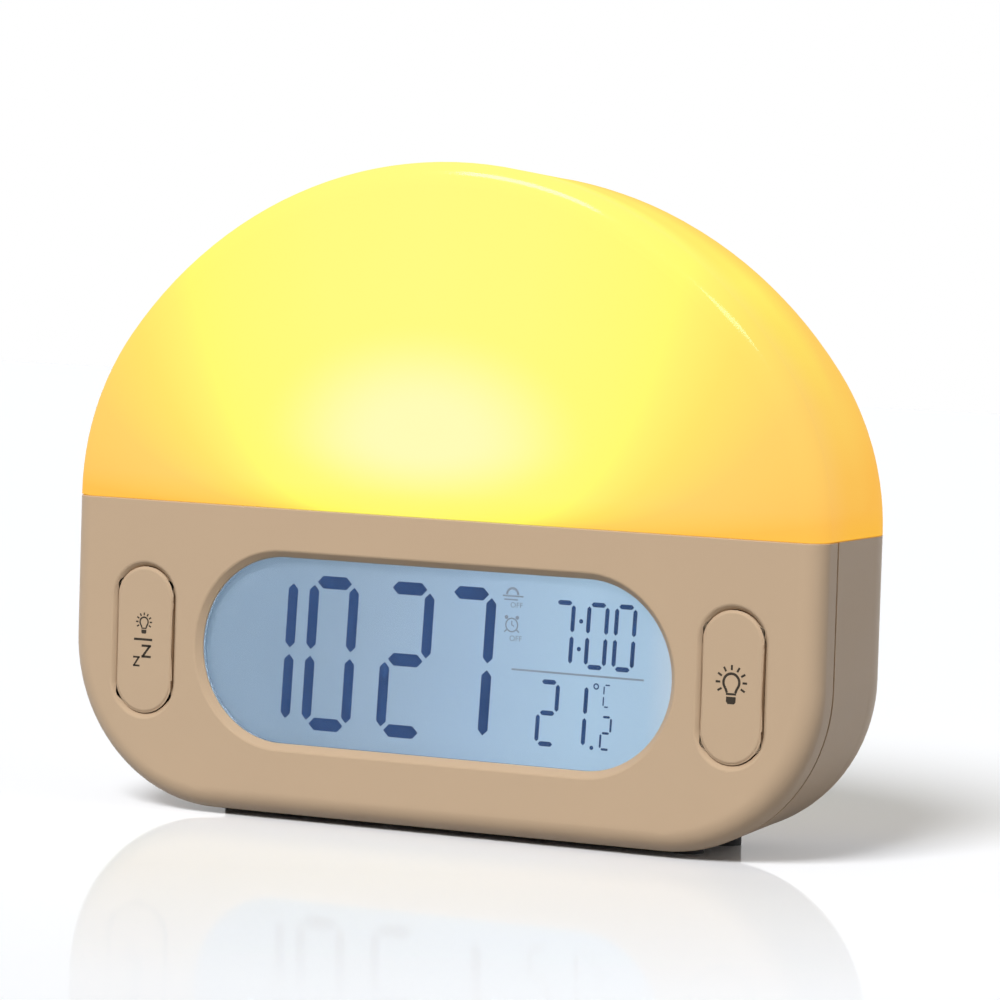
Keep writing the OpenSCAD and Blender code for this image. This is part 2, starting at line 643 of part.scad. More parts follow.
module temp_sensor() color([0.15, 0.15, 0.18]) {
    translate([vent_x, rear_wall_y - 1.6, vent_z]) sphere(r = 1.3);
    for (s = [-1, 1]) rod(vent_x, vent_z + 0.6*s, board_back, rear_wall_y - 1.6, 0.25);
}

module case_screws() color(steel) at_posts() {
    difference() {
        rod(0, 0, seat_y, seat_y + 2, head_r);
        block(0, 0, 3.4, 0.7, seat_y + 1, seat_y + 3);
        block(0, 0, 0.7, 3.4, seat_y + 1, seat_y + 3);
    }
    rod(0, 0, front_y + 6, seat_y, screw_r);
}
module board_screws() color(steel) at_board_screws() {
    rod(0, 0, board_back, board_back + 1, small_head_r);
    rod(0, 0, board_y - 3.5, board_back, small_screw_r);
}
module holder_screws() color(steel) at_holder() {
    rod(0, 0, board_y - 0.1, board_y + 1, small_head_r);
    rod(0, 0, front_y + 4, board_y - 0.1, small_screw_r);
}
module key_screws() color(steel) at_key_screws() {
    rod(0, 0, key_board_y - 1, key_board_y, small_head_r);
    rod(0, 0, key_board_y, key_board_y + 4.5, small_screw_r);
}

// Rubber feet: two strips across the bottom, the rear one taller where the case curves up
module foot_strips(gap) {
    translate([0, -8.6, 0]) foot_strip(gap, foot_h + foot_set);
    translate([0, 9, 0]) foot_strip(gap, foot_h + draft + foot_set);
}
module foot_strip(gap, h) {
    for (s = [-1, 1]) translate([corner_x*s, 0, 0]) cylinder(h = h + gap, r = foot_r + gap);
    translate([-corner_x, -foot_r - gap, 0]) cube([2*corner_x, 2*(foot_r + gap), h + gap]);
}
module feet() color([0.12, 0.12, 0.12]) foot_strips(0);

// Leads inside the case: pairs of wires smoothed through their points
function smooth(p, f) = let (n = len(p) - 1, s = min(floor(f), n - 1), u = f - s,
    a = p[max(s - 1, 0)], b = p[s], c = p[s + 1], d = p[min(s + 2, n)])
    0.5*(2*b + (c - a)*u + (2*a - 5*b + 4*c - d)*u*u + (3*b - 3*c + d - a)*u*u*u);
module lead(points, shift, up) for (s = [-1, 1])
    tube([for (i = [0:6*(len(points) - 1)]) smooth(points, i/6) + s*shift], lead_r, 8, up);
module speaker_lead() color([0.75, 0.1, 0.1]) lead(speaker_route, [0.6, 0, -0.4], [1, 0, 0.2]);
module led_lead() color([0.85, 0.8, 0.75]) lead(led_route, [0.7, 0, 0], [1, 0, 0]);
module battery_lead() color([0.75, 0.1, 0.1]) lead(battery_route, [0.6, 0, -0.6], [1, 0, 0.2]);
module key_ribbon() color([0.85, 0.85, 0.87])
    block(key_mid_x, ribbon_z, 10, 0.4, board_back + 3, key_board_y - 2.5);

front_housing();
rear_housing();
diffuser_dome();
reflector_deck();
led_board();
led_chips();
led_screws();
window_lens();
lcd_panel();
light_guide();
backlight_leds();
lcd_holder();
zebra_strips();
main_board();
board_chips();
capacitors();
clock_crystal();
board_sockets();
front_switches();
snooze_button();
snooze_plunger();
light_button();
light_plunger();
key_board();
key_switches();
talk_key();
alarm_key();
set_key();
volume_key();
up_key();
down_key();
talk_plunger();
alarm_plunger();
set_plunger();
volume_plunger();
up_plunger();
down_plunger();
usb_shell();
usb_tongue();
battery_door();
battery_contacts();
battery_springs();
speaker_frame();
speaker_magnet();
speaker_cone();
speaker_coil();
speaker_surround();
speaker_gasket();
temp_sensor();
case_screws();
board_screws();
holder_screws();
key_screws();
feet();
speaker_lead();
led_lead();
battery_lead();
key_ribbon();
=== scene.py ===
import json
import math
import bmesh
import bpy
from mathutils import Matrix, Vector

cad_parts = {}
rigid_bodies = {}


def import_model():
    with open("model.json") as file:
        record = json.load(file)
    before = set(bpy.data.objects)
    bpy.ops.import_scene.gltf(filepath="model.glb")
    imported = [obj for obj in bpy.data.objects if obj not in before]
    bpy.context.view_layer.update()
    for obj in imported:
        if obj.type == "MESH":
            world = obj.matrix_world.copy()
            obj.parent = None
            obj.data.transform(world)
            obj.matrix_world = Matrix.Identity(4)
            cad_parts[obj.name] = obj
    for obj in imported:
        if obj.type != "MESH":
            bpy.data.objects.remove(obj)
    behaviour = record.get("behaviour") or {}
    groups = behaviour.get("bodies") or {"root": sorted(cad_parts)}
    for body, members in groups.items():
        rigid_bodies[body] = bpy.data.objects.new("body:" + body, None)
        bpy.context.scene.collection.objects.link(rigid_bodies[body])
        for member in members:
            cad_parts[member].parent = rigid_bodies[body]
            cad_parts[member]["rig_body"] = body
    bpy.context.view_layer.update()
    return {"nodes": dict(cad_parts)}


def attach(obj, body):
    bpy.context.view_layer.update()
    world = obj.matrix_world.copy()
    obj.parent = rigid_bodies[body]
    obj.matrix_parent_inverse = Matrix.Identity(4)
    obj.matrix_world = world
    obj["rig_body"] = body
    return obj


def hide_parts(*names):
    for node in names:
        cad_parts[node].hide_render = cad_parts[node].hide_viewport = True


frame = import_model()


nodes = frame["nodes"]
scene = bpy.context.scene
scene.view_settings.view_transform = "Standard"
mm = 0.001
print("frame loaded:", len(nodes), "nodes")

# Camera
cameraValues = {
    "azimuth": 28.699,
    "elevation": 3.86,
    "roll": 1.777,
    "distance": 1159.54,  # mm to the point looked at
    "target": (4.252, 0, 63.861),
    "focal": 5441.12,  # in pixels of the 1000 pixel frame
    "middle": (505.33, 529.75),
}


def placeCamera(values):
    azimuth, elevation, roll = (math.radians(values[k]) for k in ("azimuth", "elevation", "roll"))
    back = Vector((math.sin(azimuth) * math.cos(elevation), -math.cos(azimuth) * math.cos(elevation),
                   math.sin(elevation)))
    right = Vector((math.cos(azimuth), math.sin(azimuth), 0))
    up = back.cross(right)
    tiltedRight = right * math.cos(roll) + up * math.sin(roll)
    tiltedUp = up * math.cos(roll) - right * math.sin(roll)
    data = bpy.data.cameras.new("photoCamera")
    data.sensor_width = 36
    data.lens = values["focal"] * 36 / 1000
    data.shift_x = (500 - values["middle"][0]) / 1000
    data.shift_y = (values["middle"][1] - 500) / 1000
    data.clip_start = 0.02
    data.clip_end = 50
    camera = bpy.data.objects.new("photoCamera", data)
    scene.collection.objects.link(camera)
    turn = Matrix((tiltedRight, tiltedUp, back)).transposed().to_4x4()
    place = (Vector(values["target"]) + back * values["distance"]) * mm
    camera.matrix_world = Matrix.Translation(place) @ turn
    scene.camera = camera


placeCamera(cameraValues)


# Material helpers
def linear(code):
    channels = [int(code[i:i + 2], 16) / 255 for i in (1, 3, 5)]
    return tuple(c / 12.92 if c <= 0.04045 else ((c + 0.055) / 1.055) ** 2.4 for c in channels) + (1.0,)


def addNode(tree, kind, inputs={}, stops=None, **settings):
    node = tree.nodes.new(kind)
    for name, value in settings.items():
        setattr(node, name, value)
    for key, value in inputs.items():
        if isinstance(value, bpy.types.NodeSocket):
            tree.links.new(value, node.inputs[key])
        else:
            node.inputs[key].default_value = value
    if stops:
        ramp = node.color_ramp
        while len(ramp.elements) < len(stops):
            ramp.elements.new(0.5)
        for element, (position, colour) in zip(ramp.elements, stops):
            element.position = position
            element.color = colour
    return node


def startMaterial(name, viewColour):
    material = bpy.data.materials.new(name)
    material.use_nodes = True
    material.diffuse_color = linear(viewColour)
    tree = material.node_tree
    tree.nodes.clear()
    output = addNode(tree, "ShaderNodeOutputMaterial")
    place = addNode(tree, "ShaderNodeTexCoord")
    return material, tree, output, place.outputs["Object"]


finishDefaults = {
    "roughness": 0.5,
    "spread": 0.06,  # how far the roughness wanders
    "grain": 0.35,  # mm across one grain of the surface texture
    "relief": 0.006,  # mm, height of that texture
    "mottle": 0.04,  # share of the colour that wanders
    "patch": 18,  # mm across one patch of that wander
    "metallic": 0.0,
    "ior": 1.5,
    "specular": 0.5,
    "coat": 0.0,
    "sheen": 0.0,
    "stretch": (1, 1, 1),  # grain drawn out along an axis, as brushing does
}


def makeFinish(name, colour, **changes):
    values = {**finishDefaults, **changes}
    material, tree, output, place = startMaterial(name, colour)
    patch = addNode(tree, "ShaderNodeTexNoise",
                    {"Vector": place, "Scale": 1000 / values["patch"], "Detail": 3.0})
    base = linear(colour)
    dark = tuple(c * (1 - values["mottle"]) for c in base[:3]) + (1,)
    pale = tuple(min(1, c * (1 + values["mottle"])) for c in base[:3]) + (1,)
    tint = addNode(tree, "ShaderNodeValToRGB", {"Fac": patch.outputs["Fac"]},
                   stops=[(0.3, dark), (0.7, pale)])
    drawn = addNode(tree, "ShaderNodeMapping", {"Vector": place, "Scale": values["stretch"]})
    grain = addNode(tree, "ShaderNodeTexNoise",
                    {"Vector": drawn.outputs["Vector"], "Scale": 1000 / values["grain"], "Detail": 2.0})
    rough = addNode(tree, "ShaderNodeMapRange", {
        "Value": patch.outputs["Fac"], "From Min": 0.25, "From Max": 0.75,
        "To Min": max(0.02, values["roughness"] - values["spread"]),
        "To Max": min(1, values["roughness"] + values["spread"])})
    relief = addNode(tree, "ShaderNodeBump",
                     {"Height": grain.outputs["Fac"], "Distance": values["relief"] * mm, "Strength": 1.0})
    shader = addNode(tree, "ShaderNodeBsdfPrincipled", {
        "Base Color": tint.outputs["Color"], "Roughness": rough.outputs["Result"],
        "Metallic": values["metallic"], "IOR": values["ior"], "Specular IOR Level": values["specular"],
        "Coat Weight": values["coat"], "Sheen Weight": values["sheen"], "Normal": relief.outputs["Normal"]})
    tree.links.new(shader.outputs["BSDF"], output.inputs["Surface"])
    return material


# Mesh helpers
def finishPiece(name, mesh, body, material, replaced=()):
    mesh.materials.clear()
    mesh.materials.append(material)
    piece = bpy.data.objects.new(name, mesh)
    scene.collection.objects.link(piece)
    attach(piece, body)
    if replaced:
        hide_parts(*replaced)
    return piece


def bodyOf(nodeName):
    return nodes[nodeName]["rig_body"]


def dressNode(nodeName, material):
    # A node that keeps its shape gets the finish of the real part
    nodes[nodeName].data.materials.clear()
    nodes[nodeName].data.materials.append(material)


# Case
caseValues = {
    "tan": "#C4AA8D",
    "roughness": 0.46,
    "edge": 0.25,  # mm, easing of the front housing's edges
    "smallEdge": 0.18,  # mm, easing of the door, buttons and keys
    "weld": 0.002,  # mm within which the corners of the frame's triangles are one
    "flat": 0.2,  # degrees within which two of them are one face
    "sharp": 38,  # degrees: an edge that turns by more is eased
    "facets": 2,  # across an eased edge
}


def softenedPiece(name, nodeName, material, width):
    # A moulding's edges are never knife sharp: the CAD shape is merged and its edges are eased by
    # the width, in mm
    sharp = math.radians(caseValues["sharp"])
    mesh = bpy.data.meshes.new(name)
    work = bmesh.new()
    work.from_mesh(nodes[nodeName].data)
    bmesh.ops.remove_doubles(work, verts=work.verts, dist=caseValues["weld"] * mm)
    bmesh.ops.dissolve_limit(work, angle_limit=math.radians(caseValues["flat"]), verts=work.verts,
                             edges=work.edges)
    for face in work.faces:
        face.smooth = True
    for edge in work.edges:
        edge.smooth = edge.calc_face_angle(0) < sharp
    work.to_mesh(mesh)
    work.free()
    for layer in [a for a in mesh.attributes if a.name == "custom_normal"]:
        mesh.attributes.remove(layer)
    piece = finishPiece(name, mesh, bodyOf(nodeName), material, [nodeName])
    ease = piece.modifiers.new("easedEdges", "BEVEL")
    ease.limit_method = "ANGLE"
    ease.angle_limit = sharp
    ease.width = width * mm
    ease.segments = caseValues["facets"]
    ease.use_clamp_overlap = False
    level = piece.modifiers.new("flatFaces", "WEIGHTED_NORMAL")
    level.keep_sharp = True
    return piece


# ABS from a spark-eroded mould: fine even grain and a soft, broad sheen
tanAbs = makeFinish("spark eroded tan ABS", caseValues["tan"], roughness=caseValues["roughness"],
                    grain=0.32, relief=0.004, mottle=0.012, patch=30, spread=0.03)
softenedPiece("frontCase", "front_housing", tanAbs, caseValues["edge"])
dressNode("rear_housing", tanAbs)
keyNames = ("talk", "alarm", "set", "volume", "up", "down")
smallMouldings = {"batteryCover": "battery_door", "snoozeButton": "snooze_button",
                  "lightButton": "light_button", **{name + "Key": name + "_key" for name in keyNames}}
for pieceName, nodeName in smallMouldings.items():
    softenedPiece(pieceName, nodeName, tanAbs, caseValues["smallEdge"])
print("case mouldings softened")


# Dome
domeValues = {
    "cream": "#F6F3B4",
    "middle": (-3, 84),  # mm, x and z of the brightest place
    "creamReach": (9, 41),  # mm from there: where the cream starts to fade, and where it is gone
    "creamUp": 1.67,  # how much sooner it fades upwards than sideways
    "creamDown": 2.78,  # and downwards
    # colour by the way the light has run, where 0 is over the lamps and wayLength the far end
    "warmth": [(0, "#F6F27F"), (10, "#F6F27C"), (20, "#F6F273"), (24, "#F6F26D"), (26.2, "#F6E96C"),
               (31, "#F6DB65"), (40, "#F6C864"), (52, "#F6C05E"), (67, "#F6B753")],
    "wayLength": 70,
    "bowlFoot": 66.5,  # mm, height from which the yellow field opens
    "bowlPower": 0.23,  # how fast it opens: 0 is upright, 1 a straight slant
    # how much further the light has run round the rim, by height in mm
    "rim": [(66.5, 0), (80, 8), (90, 0), (118, 0), (127, 7), (133, 12), (141, 24)],
    "rimStart": (-21.5, -6),  # mm, y where that begins, and where it is whole
    "rimBlue": 0.25,  # share of the blue that the rim takes away
    "rearward": 16,  # how much further it has run where the wall turns to the rear
    "rearStart": (-4, 16),  # mm, y where that begins, and where it is whole
    "lowBlue": 0.3,  # share of the blue that the wall takes away just over the split
    "lowBand": (73, 67),  # mm, height where that begins, and where it is whole
    "glow": 1.0,
    "hooks": 0.04,  # share of it in the snap hooks
    "hookBand": (63, 66),  # mm, height up to which that holds, and from which the dome is fully lit
    "body": "#5E5426",  # colour that the plastic adds by reflection
    "roughness": 0.45,
    "coat": 0.1,
    "coatRoughness": 0.12,
}


def makeGlow(values):
    # Opal polycarbonate lit from inside: light spreads in it, cream over the lamps, yellow
    # round them and redder where it has run further through the wall. The skin is satin, with a
    # little polish over it that shows a lamp as a fine streak
    material, tree, output, place = startMaterial("lit opal polycarbonate", "#FFFB75")
    size = addNode(tree, "ShaderNodeVectorMath", {0: place, "Scale": 1000.0}, operation="SCALE")
    axis = addNode(tree, "ShaderNodeSeparateXYZ", {0: size.outputs["Vector"]})
    x, y, z = (axis.outputs[name] for name in "XYZ")
    # Cream spot, an egg with its blunt ends at the sides
    across = addNode(tree, "ShaderNodeMath", {0: x, 1: values["middle"][0]}, operation="SUBTRACT")
    height = addNode(tree, "ShaderNodeMath", {0: z, 1: values["middle"][1]}, operation="SUBTRACT")
    above = addNode(tree, "ShaderNodeMath", {0: height.outputs[0], 1: values["creamUp"]},
                    operation="MULTIPLY")
    below = addNode(tree, "ShaderNodeMath", {0: height.outputs[0], 1: -values["creamDown"]},
                    operation="MULTIPLY")
    lift = addNode(tree, "ShaderNodeMath", {0: above.outputs[0], 1: below.outputs[0]}, operation="MAXIMUM")
    spot = addNode(tree, "ShaderNodeCombineXYZ", {"X": across.outputs[0], "Y": lift.outputs[0]})
    away = addNode(tree, "ShaderNodeVectorMath", {0: spot.outputs[0]}, operation="LENGTH")
    cream = addNode(tree, "ShaderNodeMapRange", {
        "Value": away.outputs["Value"], "From Min": values["creamReach"][0],
        "From Max": values["creamReach"][1], "To Min": 1.0, "To Max": 0.0}, interpolation_type="SMOOTHSTEP")
    # The yellow field opens like a bowl: its edge runs out fast just over the split, then slowly
    side = addNode(tree, "ShaderNodeMath", {0: across.outputs[0]}, operation="ABSOLUTE")
    rise = addNode(tree, "ShaderNodeMath", {0: z, 1: values["bowlFoot"]}, operation="SUBTRACT")
    level = addNode(tree, "ShaderNodeMath", {0: rise.outputs[0], 1: 1.0}, operation="MAXIMUM")
    bowl = addNode(tree, "ShaderNodeMath", {0: level.outputs[0], 1: values["bowlPower"]}, operation="POWER")
    run = addNode(tree, "ShaderNodeMath", {0: side.outputs[0], 1: bowl.outputs[0]}, operation="DIVIDE")
    # Round the rim the light has come through more plastic, most of all low down and at the crown
    back = addNode(tree, "ShaderNodeMapRange", {
        "Value": y, "From Min": values["rimStart"][0], "From Max": values["rimStart"][1]},
        interpolation_type="SMOOTHSTEP")
    low, high = values["rim"][0][0], values["rim"][-1][0]
    upward = addNode(tree, "ShaderNodeMapRange", {"Value": z, "From Min": low, "From Max": high})
    unit = 40  # the ramp holds shares of this many mm, so that none is over 1
    thick = addNode(tree, "ShaderNodeValToRGB", {"Fac": upward.outputs["Result"]},
                    stops=[((h - low) / (high - low), (d / unit, d / unit, d / unit, 1))
                           for h, d in values["rim"]])
    extra = addNode(tree, "ShaderNodeMath", {0: back.outputs["Result"], 1: thick.outputs["Color"]},
                    operation="MULTIPLY")
    rearward = addNode(tree, "ShaderNodeMapRange", {
        "Value": y, "From Min": values["rearStart"][0], "From Max": values["rearStart"][1],
        "To Max": values["rearward"]}, interpolation_type="SMOOTHSTEP")
    around = addNode(tree, "ShaderNodeMath", {0: run.outputs[0], 1: rearward.outputs["Result"]},
                     operation="ADD")
    way = addNode(tree, "ShaderNodeMath", {0: extra.outputs[0], 1: unit, 2: around.outputs[0]},
                  operation="MULTIPLY_ADD")
    share = addNode(tree, "ShaderNodeMath", {0: way.outputs[0], 1: values["wayLength"]}, operation="DIVIDE",
                    use_clamp=True)
    warm = addNode(tree, "ShaderNodeValToRGB", {"Fac": share.outputs[0]},
                   stops=[(distance / values["wayLength"], linear(colour))
                          for distance, colour in values["warmth"]])
    colour = addNode(tree, "ShaderNodeMix", {0: cream.outputs["Result"], 6: warm.outputs["Color"],
                     7: linear(values["cream"])}, data_type="RGBA")
    # Thick and low places let less blue through
    nearSplit = addNode(tree, "ShaderNodeMapRange", {
        "Value": z, "From Min": values["lowBand"][0], "From Max": values["lowBand"][1]})
    keptRim = addNode(tree, "ShaderNodeMath", {0: back.outputs["Result"], 1: -values["rimBlue"], 2: 1.0},
                      operation="MULTIPLY_ADD")
    kept = addNode(tree, "ShaderNodeMath", {0: nearSplit.outputs["Result"], 1: -values["lowBlue"],
                   2: keptRim.outputs[0]}, operation="MULTIPLY_ADD")
    filtered = addNode(tree, "ShaderNodeCombineColor", {"Red": 1.0, "Green": 1.0, "Blue": kept.outputs[0]})
    shown = addNode(tree, "ShaderNodeMix", {0: 1.0, 6: colour.outputs[2], 7: filtered.outputs["Color"]},
                    data_type="RGBA", blend_type="MULTIPLY")
    # The lip and the snap hooks stand inside the base, where the lamps hardly reach
    lit = addNode(tree, "ShaderNodeMapRange", {
        "Value": z, "From Min": values["hookBand"][0], "From Max": values["hookBand"][1],
        "To Min": values["hooks"]})
    given = addNode(tree, "ShaderNodeVectorMath", {0: shown.outputs[2], "Scale": lit.outputs["Result"]},
                    operation="SCALE")
    cloud = addNode(tree, "ShaderNodeTexNoise", {"Vector": place, "Scale": 1000 / 25, "Detail": 2.0})
    rough = addNode(tree, "ShaderNodeMapRange", {"Value": cloud.outputs["Fac"],
                    "To Min": values["roughness"] - 0.03, "To Max": values["roughness"] + 0.03})
    grain = addNode(tree, "ShaderNodeTexNoise", {"Vector": place, "Scale": 1000 / 0.5, "Detail": 1.0})
    relief = addNode(tree, "ShaderNodeBump", {"Height": grain.outputs["Fac"], "Distance": 0.002 * mm})
    shader = addNode(tree, "ShaderNodeBsdfPrincipled", {
        "Base Color": linear(values["body"]), "Roughness": rough.outputs["Result"], "IOR": 1.5,
        "Specular IOR Level": 0.0, "Coat Weight": values["coat"], "Coat Roughness": values["coatRoughness"],
        "Emission Color": given.outputs["Vector"], "Emission Strength": values["glow"],
        "Normal": relief.outputs["Normal"]})
    tree.links.new(shader.outputs["BSDF"], output.inputs["Surface"])
    return material


dressNode("diffuser_dome", makeGlow(domeValues))
print("dome finished")


# Mark helpers
# Flat marks are drawn in millimetres on the XY plane, then given a thickness and set on a face
def drawBar(work, start, end, width, tip=0.0):
    # A bar with square ends, or with points that are as long as the tip
    start, end = Vector(start), Vector(end)
    length = (end - start).length
    made = bmesh.ops.create_circle(work, cap_ends=True, segments=6, radius=width)["verts"]
    bmesh.ops.rotate(work, verts=made, matrix=Matrix.Rotation(math.radians(90), 3, "Z"))
    for vert in made:
        side = math.copysign(1, vert.co.x)
        isTip = abs(vert.co.x) > 0.75 * width
        vert.co.x = side * (length / 2 - (0 if isTip else max(tip, 0.001)))
        vert.co.y = 0 if isTip else math.copysign(width / 2, vert.co.y)
    bmesh.ops.rotate(work, verts=made,
                     matrix=Matrix.Rotation(math.atan2(end.y - start.y, end.x - start.x), 3, "Z"))
    bmesh.ops.translate(work, verts=made, vec=((start + end) / 2).to_3d())


def drawArc(work, middle, radius, width, start, end):
    # An edge across the line is spun from the start angle to the end angle, in degrees, with a
    # step for every nine of them
    full = abs(end - start) >= 360
    inner = work.verts.new((middle[0] + radius - width / 2, middle[1], 0))
    outer = work.verts.new((middle[0] + radius + width / 2, middle[1], 0))
    edge = work.edges.new((inner, outer))
    centre = Vector((middle[0], middle[1], 0))
    bmesh.ops.rotate(work, verts=[inner, outer], cent=centre,
                     matrix=Matrix.Rotation(math.radians(start), 3, "Z"))
    steps = max(6, int(abs(end - start) / 9))
    bmesh.ops.spin(work, geom=[inner, outer, edge], cent=centre, axis=(0, 0, 1), dvec=(0, 0, 0),
                   angle=math.radians(end - start), steps=steps, use_merge=full)


def drawDisc(work, middle, radius, segments=28):
    made = bmesh.ops.create_circle(work, cap_ends=True, segments=segments, radius=radius)["verts"]
    bmesh.ops.translate(work, verts=made, vec=(middle[0], middle[1], 0))


def drawShape(work, points):
    work.faces.new([work.verts.new((x, y, 0)) for x, y in points])


def drawWord(work, text, middle, height, width=None):
    curve = bpy.data.curves.new("word", "FONT")
    curve.body = text
    curve.resolution_u = 3
    holder = bpy.data.objects.new("word", curve)
    scene.collection.objects.link(holder)
    bpy.context.view_layer.update()
    mesh = bpy.data.meshes.new_from_object(holder.evaluated_get(bpy.context.evaluated_depsgraph_get()))
    bpy.data.objects.remove(holder)
    xs = [v.co.x for v in mesh.vertices]
    ys = [v.co.y for v in mesh.vertices]
    scaleY = height / (max(ys) - min(ys))
    scaleX = width / (max(xs) - min(xs)) if width else scaleY
    mesh.transform(Matrix.Diagonal((scaleX, scaleY, 1, 1)) @ Matrix.Translation(
        (-(max(xs) + min(xs)) / 2, -(max(ys) + min(ys)) / 2, 0)))
    mesh.transform(Matrix.Translation((middle[0], middle[1], 0)))
    work.from_mesh(mesh)
    bpy.data.meshes.remove(mesh)


def markPiece(name, work, y, body, material, thickness, rear=False, middle=(0, 0)):
    # The drawing faces the front, or the rear when it is meant to be read from behind
    bmesh.ops.remove_doubles(work, verts=work.verts, dist=0.0005)
    bmesh.ops.recalc_face_normals(work, faces=work.faces)
    extruded = bmesh.ops.extrude_face_region(work, geom=work.faces[:])
    bmesh.ops.translate(work, verts=[v for v in extruded["geom"] if isinstance(v, bmesh.types.BMVert)],
                        vec=(0, 0, thickness))
    turn = Matrix.Rotation(math.radians(90), 4, "X")
    if rear:
        turn = Matrix.Rotation(math.radians(180), 4, "Z") @ turn
    place = Matrix.Translation((middle[0], y, middle[1]))
    bmesh.ops.transform(work, matrix=Matrix.Scale(mm, 4) @ place @ turn, verts=work.verts)
    bmesh.ops.recalc_face_normals(work, faces=work.faces)
    mesh = bpy.data.meshes.new(name)
    work.to_mesh(mesh)
    work.free()
    return finishPiece(name, mesh, body, material)


# Display
displayValues = {
    "reach": 58,  # mm from the middle to either end of the panel's lit field
    # colour of the panel at places across it, in mm from the middle
    "tints": [(-58, "#7D97B0"), (-36, "#7D97B0"), (-16, "#8CA5BE"), (9, "#9BB8D5"), (34, "#A9C9E3"),
              (50, "#A9C9E3"), (57.5, "#C6D6E4")],
    "glow": 0.67,
    "digit": "#27406B",
    "faint": "#7C8798",
    "slant": 0.0446,  # mm to the right for each mm up
    "markY": -20.66,  # in the gap between the lens and the panel
    "markDepth": 0.03,
    # left upright at mid height, mid height, distances between uprights and between bars,
    # widths of uprights and bars, gap at the corners
    "big": {"left": {"1": -45.7, "0": -30.69, "2": -12.28, "7": 2.58}, "mid": 36.49, "width": 9.8,
            "rise": 15.2, "upright": 2.35, "bar": 2.7, "gap": 0.7},
    "alarm": {"left": [("7", 28.0), ("0", 35.93), ("0", 42.43)], "mid": 44.69, "width": 4.25,
              "rise": 6.5, "upright": 0.93, "bar": 1.0, "gap": 0.4},
    "warmth": {"left": [("2", 24.87), ("1", 31.61)], "mid": 27.89, "width": 4.24,
               "rise": 6.5, "upright": 0.93, "bar": 1.0, "gap": 0.4},
    "tenth": {"left": [("2", 39.71)], "mid": 24.69, "width": 2.2,
              "rise": 3.37, "upright": 0.47, "bar": 0.5, "gap": 0.22},
}
# Bars of each digit: top, upper left, upper right, middle, lower left, lower right, bottom
digitBars = {"0": (1, 1, 1, 0, 1, 1, 1), "1": (0, 0, 1, 0, 0, 1, 0), "2": (1, 0, 1, 1, 1, 0, 1),
             "7": (1, 0, 1, 0, 0, 1, 0)}


def drawDigit(work, digit, left, sizes, slant):
    # Seven bars with pointed ends, of which those of the digit are drawn
    rise, gap, mid = sizes["rise"], sizes["gap"], sizes["mid"]

    def at(side, level, alongX, alongZ):
        z = mid + level * rise + alongZ
        return (left + side * sizes["width"] + slant * (z - mid) + alongX, z)

    ends = [(at(0, 1, gap, 0), at(1, 1, -gap, 0)), (at(0, 1, 0, -gap), at(0, 0, 0, gap)),
            (at(1, 1, 0, -gap), at(1, 0, 0, gap)), (at(0, 0, gap, 0), at(1, 0, -gap, 0)),
            (at(0, 0, 0, -gap), at(0, -1, 0, gap)), (at(1, 0, 0, -gap), at(1, -1, 0, gap)),
            (at(0, -1, gap, 0), at(1, -1, -gap, 0))]
    for shown, (start, end), isBar in zip(digitBars[digit], ends, (1, 0, 0, 1, 0, 0, 1)):
        if shown:
            width = sizes["bar"] if isBar else sizes["upright"]
            drawBar(work, start, end, width, width / 2)


def makeDisplay(values):
    # Liquid crystal panel over a light guide: pale blue, brightest at the lamp's end. Its matt
    # front film mirrors little
    material, tree, output, place = startMaterial("backlit liquid crystal panel", "#9DB6D0")
    axis = addNode(tree, "ShaderNodeSeparateXYZ", {0: place})
    reach = values["reach"]
    along = addNode(tree, "ShaderNodeMapRange", {"Value": axis.outputs["X"], "From Min": -reach * mm,
                    "From Max": reach * mm})
    tint = addNode(tree, "ShaderNodeValToRGB", {"Fac": along.outputs["Result"]},
                   stops=[((x + reach) / (2 * reach), linear(colour)) for x, colour in values["tints"]])
    haze = addNode(tree, "ShaderNodeTexNoise", {"Vector": place, "Scale": 1000 / 40, "Detail": 2.0})
    level = addNode(tree, "ShaderNodeMapRange", {"Value": haze.outputs["Fac"],
                    "To Min": values["glow"] - 0.03, "To Max": values["glow"] + 0.03})
    shader = addNode(tree, "ShaderNodeBsdfPrincipled", {
        "Base Color": linear("#5A6470"), "Roughness": 0.35, "IOR": 1.5, "Specular IOR Level": 0.15,
        "Emission Color": tint.outputs["Color"], "Emission Strength": level.outputs["Result"]})
    tree.links.new(shader.outputs["BSDF"], output.inputs["Surface"])
    return material


def makeLens():
    # Clear cast acrylic with a coat against reflections, so that the digits stay dark behind it
    material, tree, output, place = startMaterial("coated clear acrylic", "#E8F0F4")
    smear = addNode(tree, "ShaderNodeTexNoise", {"Vector": place, "Scale": 1000 / 12, "Detail": 3.0})
    rough = addNode(tree, "ShaderNodeMapRange", {"Value": smear.outputs["Fac"],
                    "To Min": 0.0, "To Max": 0.03})
    shader = addNode(tree, "ShaderNodeBsdfPrincipled", {
        "Base Color": linear("#FAFCFC"), "Roughness": rough.outputs["Result"], "IOR": 1.15,
        "Transmission Weight": 1.0})
    tree.links.new(shader.outputs["BSDF"], output.inputs["Surface"])
    return material


dressNode("lcd_panel", makeDisplay(displayValues))
dressNode("window_lens", makeLens())
# Driven crystal is dark blue and even; the icons are faint because they are switched off
digitInk = makeFinish("driven liquid crystal", displayValues["digit"],
                      roughness=0.4, relief=0.0005, mottle=0.02, specular=0.1)
faintInk = makeFinish("undriven liquid crystal", displayValues["faint"],
                      roughness=0.4, relief=0.0005, mottle=0.02, specular=0.15)


